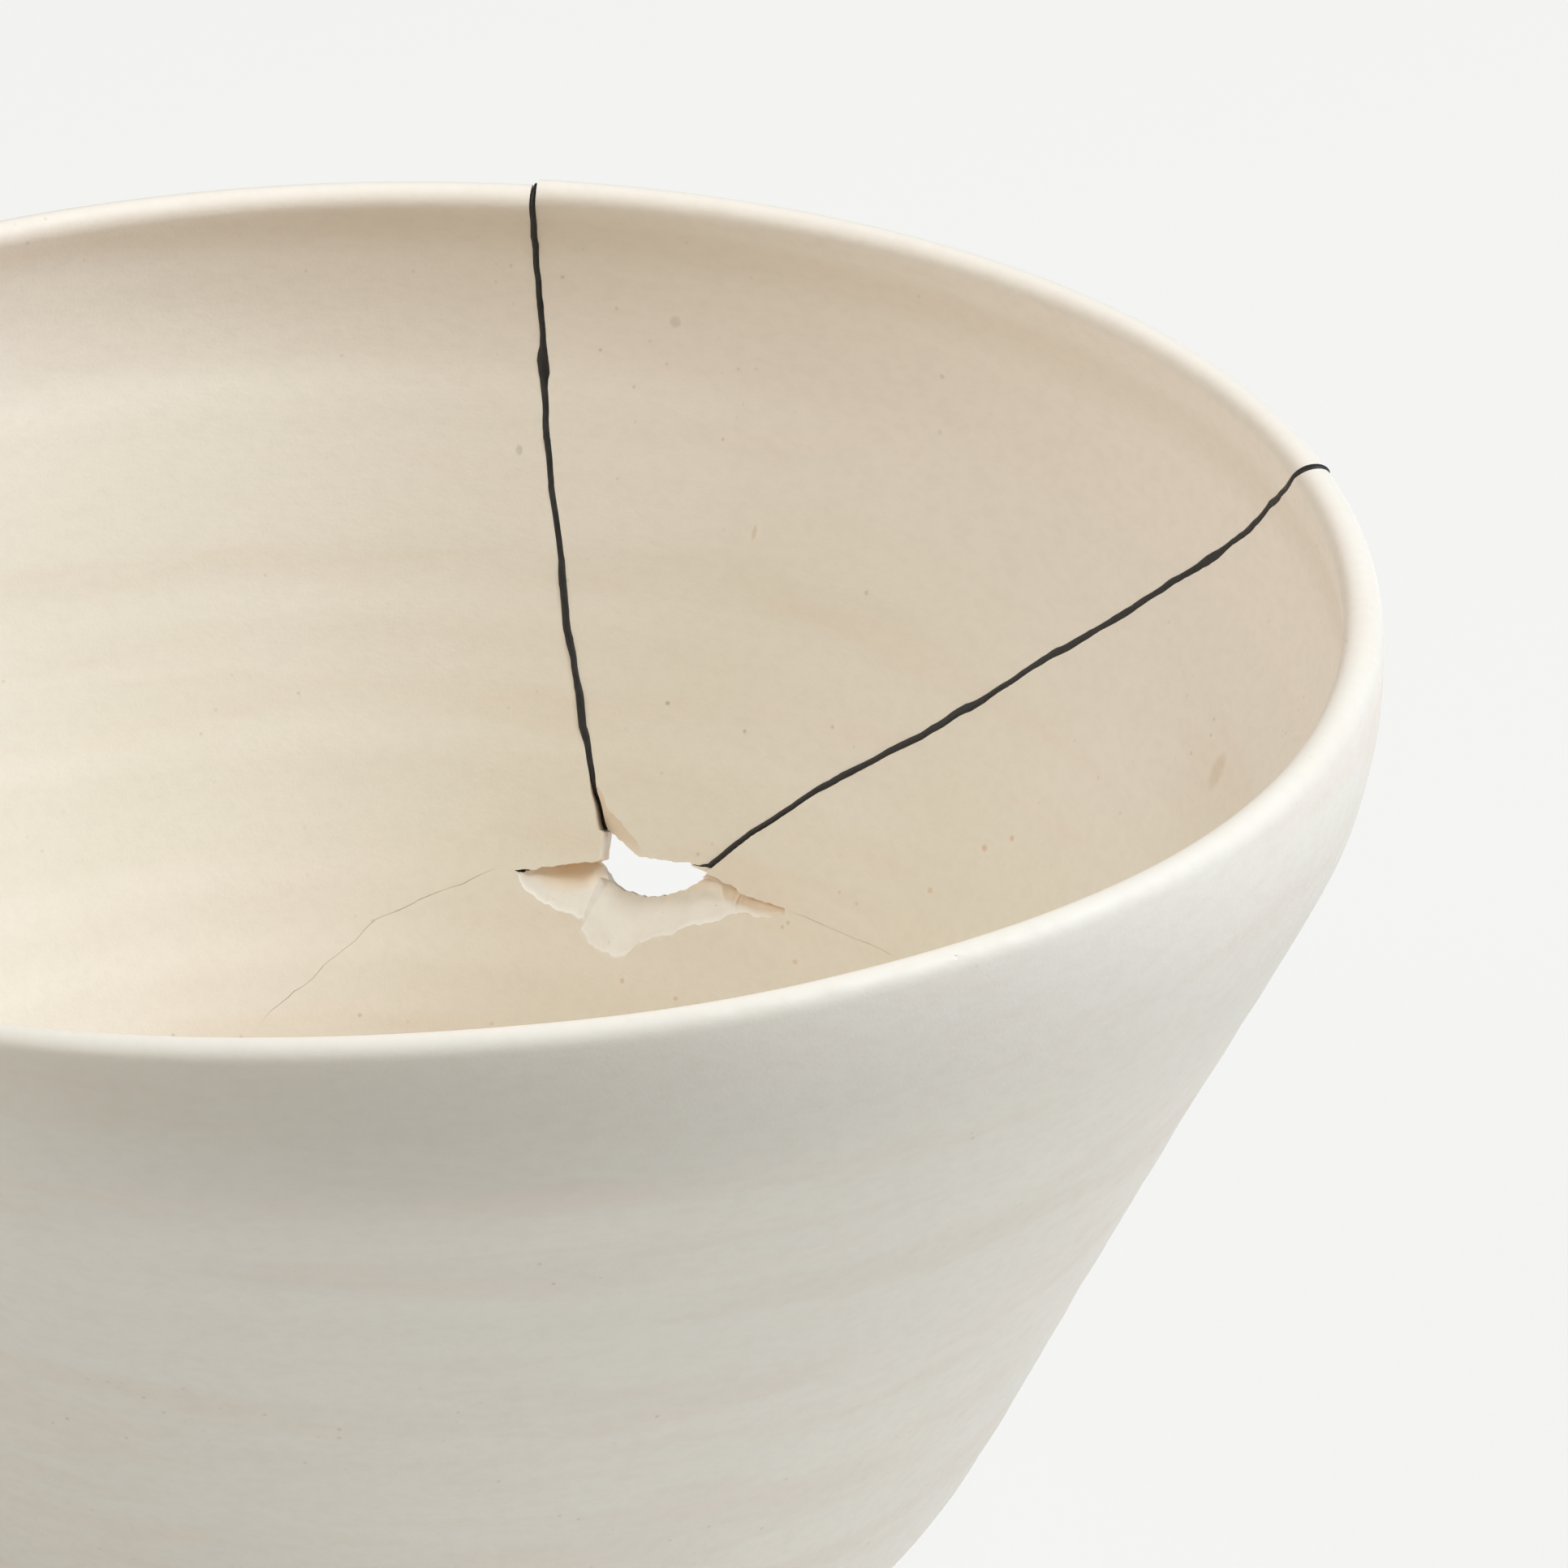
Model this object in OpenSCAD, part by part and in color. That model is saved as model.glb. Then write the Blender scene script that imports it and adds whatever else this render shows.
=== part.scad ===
// Thrown porcelain bowl, broken and mended. A wedge of the rim is set back in place with
// dark filler in its two seams. A small hole is left where the cracks meet, with flake
// scars below it on the inside.
// Millimetres, +Z up, origin at the centre of the foot's underside. Angles run from +X
// towards +Y, and the depths of the cracks are measured down from the top of the lip.

/* [Bowl] */
// Diameter of the mouth, measured at the crest of the lip
mouth_d = 200; // [160:1:245]
// Height from the foot's underside to the top of the lip
bowl_h = 128; // [105:1:156]
// Thickness of the wall
wall = 4; // [2.8:0.1:5]
// Angle by which the lip leans in over the bowl
lip_tuck = 8; // [0:1:12]
// Outside radius of the bend below the lip
shoulder_r = 38; // [25:1:50]
// Outside radius of the bend above the foot
belly_r = 55; // [40:1:68]
// Slope of the wall where it meets the foot, from upright
belly_slope = 63; // [60:1:68]

/* [Foot] */
// Diameter of the foot where it meets the wall
foot_d = 80; // [64:1:96]
// Height of the foot
foot_h = 8; // [6.5:0.5:12]
// How much the foot narrows to its underside, on each side
foot_taper = 1.5; // [0:0.5:4]
// Width of the ring that the bowl stands on
foot_ring_w = 6; // [4:0.5:12]
// Bevel on both edges of that ring
foot_bevel = 0.6; // [0.2:0.1:1.2]
// Thickness of the floor inside the foot ring
floor_t = 3.4; // [2:0.1:4.5]

/* [Break] */
// Width of the dark filler in the seams
seam_w = 0.9; // [0.5:0.1:2]
// How far the mended wedge stands above the lip at the left seam
shard_lift = 0.7; // [0:0.1:1.5]
// Deepest bite of the flake scars into the wall, below the hole
scar_bite = 3.7; // [1:0.1:3.9]
// Deepest bite of the two chips beside the left seam
chip_bite = 1.7; // [0.5:0.1:2.4]

/* [Hidden] */

// Steps in one turn of the bowl, and in one bend of its outline
turn_steps = 120;
bend_steps = 8;
lip_steps = 12;

// The wall is two bends joined by a straight cone that touches both. Points of the
// outline are [radius, height], and its slope is measured from upright.
lip_r = wall / 2;
shoulder_mid_r = shoulder_r - lip_r;
lip_centre = [mouth_d / 2, bowl_h - lip_r];
shoulder_centre = lip_centre - shoulder_mid_r * [cos(lip_tuck), sin(lip_tuck)];
belly_centre = [foot_d / 2 - belly_r * cos(belly_slope), foot_h + belly_r * sin(belly_slope)];
bends_apart = shoulder_centre - belly_centre;
cone_slope = atan2(bends_apart[0], bends_apart[1]) - asin((belly_r - shoulder_r) / norm(bends_apart));

// Inside face: radii of the bends, and the heights where the cone starts and ends
shoulder_in_r = shoulder_r - wall;
belly_in_r = belly_r - wall;
cone_top_z = shoulder_centre[1] - shoulder_in_r * sin(cone_slope);
cone_low_z = belly_centre[1] - belly_in_r * sin(cone_slope);
cone_top_r = shoulder_centre[0] + shoulder_in_r * cos(cone_slope);
lip_low_z = shoulder_centre[1] + shoulder_in_r * sin(lip_tuck);
floor_z = belly_centre[1] - belly_in_r;

// Foot
foot_low_r = foot_d / 2 - foot_taper;
hollow_r = foot_low_r - foot_ring_w;
hollow_z = floor_z - floor_t;

// Cracks as [angle, depth] points on the inside face, from above the lip to the hole
above_lip = -6;
left_seam = [[80, above_lip], [80, 3], [79.8, 10], [79, 21], [78.2, 30], [77, 40], [75.5, 50],
    [74, 57], [72.6, 62.5], [70.6, 67]];
right_seam = [[13, above_lip], [13, 0], [19.5, 12.5], [24, 20.5], [30, 30], [37, 40], [44.5, 50],
    [53, 59.3], [59.3, 66.7], [61.2, 69.2]];
// The wedge's lower edge, which is the upper edge of the hole
shard_tip = [[67.8, 69.7], [62, 69.3]];
// Steps across the wedge, which keep its cutting faces close to the wall
shard_steps = 10;

// The hole through the wall, as its upper and lower edge. The upper edge runs 1 mm or so
// into the wedge's place, so that the two cuts join.
hole_top = [[71.5, 70.5], [70.8, 70.3], [70.4, 66.8], [69, 67.4], [67, 68.4], [64.8, 68.4], [62.4, 69],
    [60.6, 70]];
hole_low = [[71.5, 70.8], [70.8, 71.5], [70.2, 72], [69.2, 72.8], [67, 73.3], [64.8, 73.3], [62.6, 72.2],
    [60.6, 70.4]];

// Flake scars on the inside below the hole: sharp upper edge, bite there as a share of
// scar_bite, and the lower edge where they run out
scar_top = [[78.9, 72.3], [75.6, 71.6], [73.5, 71.3], [71.2, 71.1], [68, 71.6], [64.5, 71.6], [61, 70.8],
    [57.5, 71], [52.8, 71.5]];
scar_share = [0.08, 0.45, 0.6, 0.85, 1, 1, 0.8, 0.45, 0.08];
scar_low = [[78.9, 72.8], [77, 75.6], [74, 77.2], [71.5, 78.8], [69, 80.5], [65, 78], [61.5, 76],
    [58, 73.6], [52.8, 72]];

// Chips along the left seam, just above the hole: one on the body, one on the wedge. The
// deep side of each lies in the seam.
body_chip_deep = [[72, 62.8], [70.4, 66.6], [69.9, 69.3], [70.4, 71]];
body_chip_out = [[73, 62.4], [72.4, 66.1], [71.8, 69.5], [71.6, 70.7]];
shard_chip_deep = [[66.2, 71.4], [68.9, 70.6], [71.2, 67.8], [73, 63]];
shard_chip_out = [[66, 69], [69.3, 66.3], [71.1, 64.7], [72.1, 62]];
chip_share = [0.2, 0.8, 1, 0.7];

// How far the cutters reach past each face of the wall, how far a flake's cutter reaches
// into the bowl, and how far the soft edge of a flake starts off the face
cut_reach = 6;
flake_reach = 4;
flake_lead = 0.1;

// The wedge is set back turned a little about the line from the axis to the right seam
hinge_angle = right_seam[1][0];
shard_turn = asin(shard_lift / (mouth_d / 2 * sin(left_seam[1][0] - hinge_angle)));

// Points of a bend between two slopes
function bend(centre, r, slope_from, slope_to) = [for (i = [0:bend_steps])
    let (a = slope_from + (slope_to - slope_from) * i / bend_steps)
    centre + r * [cos(a), -sin(a)]];

// Slope and radius of the inside face at a height. Above the face they stay as at the lip.
function slope_at(z) =
    z > lip_low_z ? -lip_tuck
    : z > cone_top_z ? asin((shoulder_centre[1] - z) / shoulder_in_r)
    : z > cone_low_z ? cone_slope
    : asin((belly_centre[1] - z) / belly_in_r);
function inside_r(z) =
    z > cone_top_z ? shoulder_centre[0] + shoulder_in_r * cos(slope_at(z))
    : z > cone_low_z ? cone_top_r - (cone_top_z - z) * tan(cone_slope)
    : belly_centre[0] + belly_in_r * cos(slope_at(z));

// A point [angle, depth] of the inside face, moved outward square to the wall
function on_wall(p, out) =
    let (z = bowl_h - p[1], a = slope_at(z), r = inside_r(z) + out * cos(a))
    [r * cos(p[0]), r * sin(p[0]), z - out * sin(a)];

// A crack line moved sideways by a distance, along the inside face
function beside(line, shift) = [for (i = [0:len(line) - 1])
    let (
        arc = inside_r(bowl_h - line[i][1]) * PI / 180,
        ahead = line[min(i + 1, len(line) - 1)] - line[max(i - 1, 0)],
        run = [ahead[0] * arc, ahead[1]],
        square = [-run[1], run[0]] / norm(run)
    )
    line[i] + shift * [square[0] / arc, square[1]]];

// Rows of points from one line to another, in equal steps
function rows_between(from, to, steps) = [for (i = [0:len(from) - 1])
    [for (j = [0:steps]) from[i] + (to[i] - from[i]) * j / steps]];

// The same point of the wall for a whole grid, at one distance or at one for each point
function grid_at(grid, out) = [for (row = grid) [for (p = row) on_wall(p, out)]];
function grid_with(grid, outs) = [for (i = [0:len(grid) - 1])
    [for (j = [0:len(grid[i]) - 1]) on_wall(grid[i][j], outs[i][j])]];

// Closed solid between two grids of points with as many rows and columns. The rows follow
// each other clockwise from the columns as seen from the axis, or it is inside out.
module between_grids(inner, outer) {
    rows = len(inner);
    cols = len(inner[0]);
    layer = rows * cols;
    points = concat([for (row = inner) each row], [for (row = outer) each row]);
    function at(i, j, side) = side * layer + i * cols + j;
    inner_faces = [for (i = [0:rows - 2], j = [0:cols - 2])
        each [[at(i, j, 0), at(i + 1, j + 1, 0), at(i, j + 1, 0)],
            [at(i, j, 0), at(i + 1, j, 0), at(i + 1, j + 1, 0)]]];
    outer_faces = [for (i = [0:rows - 2], j = [0:cols - 2])
        each [[at(i, j, 1), at(i, j + 1, 1), at(i + 1, j + 1, 1)],
            [at(i, j, 1), at(i + 1, j + 1, 1), at(i + 1, j, 1)]]];
    first_col = [for (i = [0:rows - 2])
        each [[at(i, 0, 0), at(i, 0, 1), at(i + 1, 0, 1)], [at(i, 0, 0), at(i + 1, 0, 1), at(i + 1, 0, 0)]]];
    last_col = [for (i = [0:rows - 2], k = [cols - 1])
        each [[at(i, k, 0), at(i + 1, k, 1), at(i, k, 1)], [at(i, k, 0), at(i + 1, k, 0), at(i + 1, k, 1)]]];
    first_row = [for (j = [0:cols - 2])
        each [[at(0, j, 0), at(0, j + 1, 1), at(0, j, 1)], [at(0, j, 0), at(0, j + 1, 0), at(0, j + 1, 1)]]];
    last_row = [for (j = [0:cols - 2], k = [rows - 1])
        each [[at(k, j, 0), at(k, j, 1), at(k, j + 1, 1)], [at(k, j, 0), at(k, j + 1, 1), at(k, j + 1, 0)]]];
    polyhedron(points, concat(inner_faces, outer_faces, first_col, last_col, first_row, last_row));
}

// Cutter that goes square through the wall
module through_wall(grid) {
    between_grids(grid_at(grid, -cut_reach), grid_at(grid, wall + cut_reach));
}

// Cutter for a flake off the inside face: deep along one line, running out at the other
module flake(deep_line, out_line, bite, shares) {
    steps = 2;
    grid = rows_between(deep_line, out_line, steps);
    outs = [for (i = [0:len(grid) - 1]) [for (j = [0:steps])
        bite * shares[i] * pow(1 - j / steps, 1.3) - flake_lead * j / steps]];
    between_grids(grid_at(grid, -flake_reach), grid_with(grid, outs));
}

// The whole bowl as thrown, before it broke
module thrown_wall() {
    outline = concat(
        [[0, hollow_z], [hollow_r - foot_bevel, hollow_z], [hollow_r, hollow_z - foot_bevel]],
        [[hollow_r, foot_bevel], [hollow_r + foot_bevel, 0]],
        [[foot_low_r - foot_bevel, 0], [foot_low_r, foot_bevel]],
        bend(belly_centre, belly_r, belly_slope, cone_slope),
        bend(shoulder_centre, shoulder_r, cone_slope, -lip_tuck),
        [for (i = [1:lip_steps - 1]) let (a = lip_tuck + 180 * i / lip_steps)
            lip_centre + lip_r * [cos(a), sin(a)]],
        bend(shoulder_centre, shoulder_in_r, -lip_tuck, cone_slope),
        bend(belly_centre, belly_in_r, cone_slope, 90),
        [[0, floor_z]]
    );
    rotate_extrude($fn = turn_steps) polygon(outline);
}

// Wedge-shaped cutter between the two cracks, grown or shrunk by a distance on each side
module wedge_place(grow) {
    left = concat(beside(left_seam, -grow), [shard_tip[0]]);
    right = concat(beside(right_seam, grow), [shard_tip[1]]);
    through_wall(rows_between(right, left, shard_steps));
}

// Filler in one crack, as thick as the wall
module seam_filler(line) {
    intersection() {
        thrown_wall();
        through_wall(rows_between(beside(line, seam_w / 2), beside(line, -seam_w / 2), 1));
    }
}

module bowl_body() {
    color("antiquewhite") difference() {
        thrown_wall();
        wedge_place(seam_w / 2);
        through_wall([hole_low, hole_top]);
        flake(scar_top, scar_low, scar_bite, scar_share);
        flake(body_chip_deep, body_chip_out, chip_bite, chip_share);
    }
}

module rim_shard() {
    color("linen") difference() {
        intersection() {
            translate([0, 0, bowl_h])
                rotate(a = shard_turn, v = [cos(hinge_angle), sin(hinge_angle), 0])
                    translate([0, 0, -bowl_h]) thrown_wall();
            wedge_place(-seam_w / 2);
        }
        flake(shard_chip_deep, shard_chip_out, chip_bite, chip_share);
    }
}

module left_seam_filler() {
    color([0.13, 0.12, 0.12]) seam_filler(left_seam);
}

module right_seam_filler() {
    color([0.13, 0.12, 0.12]) seam_filler(right_seam);
}

bowl_body();
rim_shard();
left_seam_filler();
right_seam_filler();
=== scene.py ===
"""Mended porcelain bowl: the thrown wall, the wedge set back into its rim, and the two filled seams.

Lengths in the tables are millimetres. A place on the wall is (angle, depth): degrees from +X towards
+Y, and millimetres down from the top of the lip, along the bowl's axis.
"""
import math

import bmesh
import bpy
import numpy as np
from mathutils import Matrix, Vector, noise


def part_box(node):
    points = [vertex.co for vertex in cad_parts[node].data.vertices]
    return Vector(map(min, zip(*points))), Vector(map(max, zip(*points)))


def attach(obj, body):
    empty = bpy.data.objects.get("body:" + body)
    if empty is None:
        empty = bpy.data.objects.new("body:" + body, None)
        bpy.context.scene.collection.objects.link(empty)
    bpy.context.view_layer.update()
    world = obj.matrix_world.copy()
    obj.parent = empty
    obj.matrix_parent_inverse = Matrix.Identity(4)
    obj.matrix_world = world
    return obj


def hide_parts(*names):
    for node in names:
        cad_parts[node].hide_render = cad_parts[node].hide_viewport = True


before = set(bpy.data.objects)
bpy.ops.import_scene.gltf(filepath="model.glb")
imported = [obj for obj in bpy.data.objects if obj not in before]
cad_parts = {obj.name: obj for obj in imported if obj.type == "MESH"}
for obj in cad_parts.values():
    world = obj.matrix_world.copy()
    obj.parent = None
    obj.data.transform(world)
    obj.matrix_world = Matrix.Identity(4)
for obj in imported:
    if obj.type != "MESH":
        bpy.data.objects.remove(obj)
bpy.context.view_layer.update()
MM = 0.001

# ---------------------------------------------------------------- sizes
# The wall's own values, as in the part: its bends, its lean at the lip, and its foot
WALL = 4.0
LIP_TUCK = math.radians(8)
SHOULDER_R = 38.0
BELLY_R = 55.0
BELLY_SLOPE = math.radians(63)
FOOT_R = 40.0
FOOT_H = 8.0
FOOT_TAPER = 1.5
FOOT_RING_W = 6.0
FLOOR_T = 3.4
FOOT_EDGE = 0.7

# What the frame gives: the height, and the mouth from the widest point of the wall
LIP_R = WALL / 2
BOWL_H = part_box("bowl_body")[1].z / MM
WIDEST_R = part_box("bowl_body")[1].x / MM
SHOULDER_C = np.array([WIDEST_R - SHOULDER_R,
                       BOWL_H - LIP_R - (SHOULDER_R - LIP_R) * math.sin(LIP_TUCK)])
LIP_C = SHOULDER_C + (SHOULDER_R - LIP_R) * np.array([math.cos(LIP_TUCK), math.sin(LIP_TUCK)])
BELLY_C = np.array([FOOT_R - BELLY_R * math.cos(BELLY_SLOPE), FOOT_H + BELLY_R * math.sin(BELLY_SLOPE)])
BENDS_APART = SHOULDER_C - BELLY_C
CONE_SLOPE = (math.atan2(BENDS_APART[0], BENDS_APART[1])
              - math.asin((BELLY_R - SHOULDER_R) / np.hypot(*BENDS_APART)))
SHOULDER_IN_R = SHOULDER_R - WALL
BELLY_IN_R = BELLY_R - WALL
CONE_TOP_Z = SHOULDER_C[1] - SHOULDER_IN_R * math.sin(CONE_SLOPE)
CONE_LOW_Z = BELLY_C[1] - BELLY_IN_R * math.sin(CONE_SLOPE)
CONE_TOP_R = SHOULDER_C[0] + SHOULDER_IN_R * math.cos(CONE_SLOPE)
LIP_LOW_Z = SHOULDER_C[1] + SHOULDER_IN_R * math.sin(LIP_TUCK)
FLOOR_Z = BELLY_C[1] - BELLY_IN_R
HOLLOW_Z = FLOOR_Z - FLOOR_T

# The break: the seams' width, the shard's lift at the left seam, where the seam lines start above the
# lip, and how far a cutter stands out of the wall on each side
SEAM_GAP = 0.7
SHARD_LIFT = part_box("rim_shard")[1].z / MM - BOWL_H
ABOVE_LIP = -6.0
REACH = 6.0
# The seams, the shard's lower edge and the hole's two edges. The hook is the thin end of the right
# filler, which runs a little way along the shard's edge.
LEFT_SEAM = [
    (79.9, ABOVE_LIP), (79.9, 2), (79.8, 6.3), (79.5, 12.2), (78.8, 22.6), (78.45, 27.6), (77.9, 32.5),
    (77.1, 37.3), (76.5, 42.2), (75.8, 47.2), (74.8, 51.9), (73.9, 56.7), (73.2, 59.1), (72.7, 61.5),
    (72.2, 63.6), (71.75, 65.3), (71.3, 66.8)
]
RIGHT_SEAM = [
    (11.8, ABOVE_LIP), (11.8, 0), (12.1, 0.8), (12.9, 2.5), (14.7, 5.2), (16.8, 8.3), (19, 12.4),
    (20.9, 15.5), (23.1, 19.3), (25.5, 22.9), (28.3, 27.5), (31.3, 32), (34.4, 36.3), (37.4, 40.6),
    (40.5, 44.8), (43.6, 48.8), (47, 52.6), (50.4, 56.2), (53.8, 60), (57, 63.7), (59.1, 66.2),
    (60.7, 68.5)
]
HOOK = [(60.7, 68.5), (61.5, 68.7), (62.3, 68.7)]
SHARD_TIP = [
    (60.7, 68.5), (61.7, 68.6), (62.8, 68.6), (64.1, 68.8), (66.1, 68.9), (67.6, 69), (68.6, 68.4),
    (69.4, 67.85), (70.3, 67.3), (71.3, 66.8)
]
HOLE_TOP = [
    (71.7, 70.2), (71.1, 69.9), (71.15, 69.1), (71.1, 68.3), (71.1, 67.5), (71.2, 66.3), (69, 66.1),
    (66.7, 67.7), (64.5, 67.7), (62.8, 67.9), (62.4, 68.9), (61.3, 69.1), (60.8, 69.2)
]
HOLE_LOW = [
    (71.7, 70.3), (71.25, 70.7), (70.9, 71.25), (70.4, 71.9), (69.8, 72.5), (68.9, 72.8), (67.9, 72.95),
    (67.1, 73.05), (66.2, 72.95), (64.9, 72.4), (63.5, 71.5), (62.2, 70.4), (61.4, 69.5), (60.8, 69.3)
]

# Flake scars below the hole, each a sharp upper edge, the edge where it runs out, and how deep it bites
# along the sharp edge. They overlap, and meet in blunt ridges.
LEFT_SCAR = (
    [(78.1, 71.8), (77.3, 71.7), (76, 71.2), (74.3, 70.8), (72.6, 70.4), (71.3, 70.1), (69.5, 70.3)],
    [(78.6, 72.1), (78, 73.5), (76.4, 75), (74.3, 75.7), (72.4, 76.2), (70.6, 76.2), (68.6, 75.4)],
    [0.2, 0.7, 1.2, 1.9, 2.5, 3.0, 3.2]
)
MIDDLE_SCAR = (
    [(71.7, 71.7), (70.6, 71.8), (68.5, 71.7), (66, 71.7), (63.8, 70.9), (61.6, 69.9), (58.9, 70.2)],
    [(72, 76), (72.2, 77.6), (71.1, 79), (68.7, 80.1), (65, 77.2), (61.3, 75.1), (56.9, 72.6)],
    [1.4, 2.9, 3.7, 3.8, 3.6, 2.6, 0.8]
)
RIGHT_SCAR = (
    [(62.4, 69.5), (60.5, 69.3), (58.9, 69.8), (57.8, 69.9), (57.3, 70.4), (55.5, 70.6), (54.2, 70.6),
     (52.4, 70.6)],
    [(63.1, 73.3), (60.8, 73.2), (58.8, 72.8), (57.7, 72.55), (56.8, 72.5), (55.2, 72.3), (53.9, 72),
     (52.3, 71.2)],
    [2.3, 2.0, 1.7, 1.5, 1.3, 1.0, 0.8, 0.4]
)
# The scars' upper edge all along, and by angle how far the tan stain and painted shade reach below it and how
# strong they are
STAIN_AND_SHADE_TOP = [
    (78.1, 71.8), (76, 71.2), (72.4, 70.35), (71, 70.1), (70.1, 71.2), (68.5, 72.6), (66.4, 72.9),
    (64.9, 72.6), (62.2, 71.1), (60.5, 69.3), (58.8, 69.7), (57.2, 70.3), (54.1, 70.6), (51.7, 70.6)
]
STAIN_AND_SHADE_REACH = [
    (51, 1.3), (54, 1.6), (58, 1.9), (60.5, 2.0), (62, 1.4), (69, 1.2), (70.5, 2.4), (71.3, 3.2),
    (74, 3.3), (76, 2.6), (77.5, 1.2), (79, 0.8)
]
STAIN_AND_SHADE_STRENGTH = [
    (51, 0.7), (58, 0.8), (61, 0.6), (62, 0.42), (69.5, 0.36), (70.8, 0.4), (71.8, 0.85), (74, 0.95),
    (76, 0.7), (77.6, 0.35), (79, 0.1)
]
# The shard's chip beside the hole, in the same way
CHIP_DEEP = [(67.8, 70.6), (69.1, 69.7), (70.6, 68.3), (71.8, 66.5), (72.5, 63.4)]
CHIP_OUT = [(67, 69), (67.7, 67.4), (69.6, 65.6), (70.85, 64.3), (72, 62.3)]
CHIP_BITE = [0.7, 1.8, 2.6, 2.4, 0.6]
# Near the hole the left filler is lost from the inner part of the break: depth, how far it lies back
LEFT_FILLER_BACK = [(60, 0.0), (62, 0.5), (64, 2.0), (67, 2.9)]

# Hairlines: a dark nick at the left scar's tip, the long fine crack beyond it, and a pale line
DARK_NICK = [(78.8, 71.75), (78.2, 71.65), (77.9, 71.85), (77.3, 71.7)]
LONG_HAIRLINE = [
    (78.7, 71.8), (80.9, 71.9), (83.8, 73.6), (85.8, 74.4), (87.9, 75.4), (89.9, 76.3), (92, 77.3),
    (93.6, 79), (95.2, 80.2), (96.9, 81.5), (99.7, 83.8), (102.7, 85.7), (105.2, 87.8)
]
PALE_HAIRLINE = [(52.3, 70.8), (47.8, 70.9), (43.2, 70.9), (38.8, 70.8)]

# Nicks on the outer edge of the lip: angle, length, depth, and how high round the lip they sit
RIM_NICKS = [
    (64.4, 2.2, 0.35), (61.6, 1.2, 0.25), (57.6, 2.4, 0.4), (55.6, 1.4, 0.3), (38.7, 1.2, 0.3),
    (32.6, 1.0, 0.25), (80.9, 0.9, 0.45), (118, 1.1, 0.25), (231, 1.3, 0.3), (302, 0.9, 0.25)
]
NICK_RISE = math.radians(50)

# Where the rim sags: angle, reach either side, how far it spreads outward, how far it drops
RIM_SAGS = [(-26, 40, 1.25, 1.3), (-128, 48, 0.5, 2.7)]

# Throwing rings inside: depth on the far wall, height, width. They drop a little towards +X.
RINGS = [(28.5, 0.06, 1.5), (34.4, 0.045, 1.2), (46.2, 0.1, 1.6), (59.2, 0.05, 1.6), (68.5, 0.05, 1.3),
         (81.3, 0.09, 1.8), (95, 0.08, 2.0), (106, 0.1, 2.2)]
RING_DROP = 3.0

# Meshes: spacing down the wall, round the front of the break and round the rest, where two points
# are one, the angle from which an edge stays sharp, and the small radius that a fan of faces closes
ROW_STEP = 1.2
BREAK_STEP, ROUND_STEP = ((0.8, 1.25))
SHARD_STEP = 0.5
WELD = 2e-6
WALL_CREASE = math.radians(30)
FILLER_CREASE = math.radians(60)
MIDDLE_R = 1.5
# The relief dies away over this many rows beside the lip's top, down to this share
CALM_ROWS = 14.0
CALM_LEAST = 0.12

# Flakes: how far their cutters stand off the wall, how rough and how rippled they are, and the low
# ridge down the middle scar
FLAKE_REACH = 4.0
FLAKE_ROUGH = 0.14
FLAKE_RIPPLE = 0.03
RIDGE_ANGLE = 69.4
RIDGE_WIDTH = 0.5
RIDGE_HEIGHT = 0.13

# A bead of filler: points across it, how far its edges are sunk in the seam, its width and height on
# the whole, and its swellings by depth, reach and added width
BEAD_SIDE = 9
BEAD_SUNK = 0.12
BEAD_WIDTH = 0.95
BEAD_HEIGHT = 0.2
LEFT_SWELLS = [(20, 2.0, 0.6), (8.4, 0.5, -0.4), (2, 2, -0.25), (46, 2, 0.1), (60, 3, -0.2)]
RIGHT_SWELLS = [(18, 2.2, 0.4), (68, 2.5, -0.4), (33, 5, 0.2), (62, 4, -0.15)]
# How much wider or narrower each bead is at the lip's top, and the hook's end widths and height
LEFT_LIP_WIDTH = 0.55
RIGHT_LIP_WIDTH = 1.7
HOOK_WIDTHS = [0.34, 0.16]
HOOK_HEIGHT = 0.02

# ---------------------------------------------------------------- the wall's surface
def slope_at(z):
    """Slope of the inside face from upright, at a height."""
    z = np.asarray(z, float)
    upper = np.arcsin(np.clip((SHOULDER_C[1] - z) / SHOULDER_IN_R, -1, 1))
    lower = np.arcsin(np.clip((BELLY_C[1] - z) / BELLY_IN_R, -1, 1))
    slope = np.where(z > CONE_TOP_Z, upper, CONE_SLOPE)
    slope = np.where(z > LIP_LOW_Z, -LIP_TUCK, slope)
    return np.where(z < CONE_LOW_Z, lower, slope)


def inside_r(z):
    """Radius of the inside face at a height."""
    z = np.asarray(z, float)
    slope = slope_at(z)
    radius = np.where(z > CONE_TOP_Z, SHOULDER_C[0] + SHOULDER_IN_R * np.cos(slope),
                      CONE_TOP_R - (CONE_TOP_Z - z) * math.tan(CONE_SLOPE))
    return np.where(z < CONE_LOW_Z, BELLY_C[0] + BELLY_IN_R * np.cos(slope), radius)


def turned(angle, r, z):
    """Points at an angle in degrees, a radius and a height."""
    a = np.radians(angle)
    return np.stack(np.broadcast_arrays(r * np.cos(a), r * np.sin(a), z), -1)


def on_wall(angle, depth, out):
    """Points of the inside face, moved outward square to the wall."""
    z = BOWL_H - np.asarray(depth, float)
    slope = slope_at(z)
    return turned(angle, inside_r(z) + out * np.cos(slope), z - out * np.sin(slope))


def on_line(depth, out=0.0):
    """A point (radius, height) of the wall's outline."""
    p = on_wall(0.0, depth, out)
    return np.array([p[0], p[2]])


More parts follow.
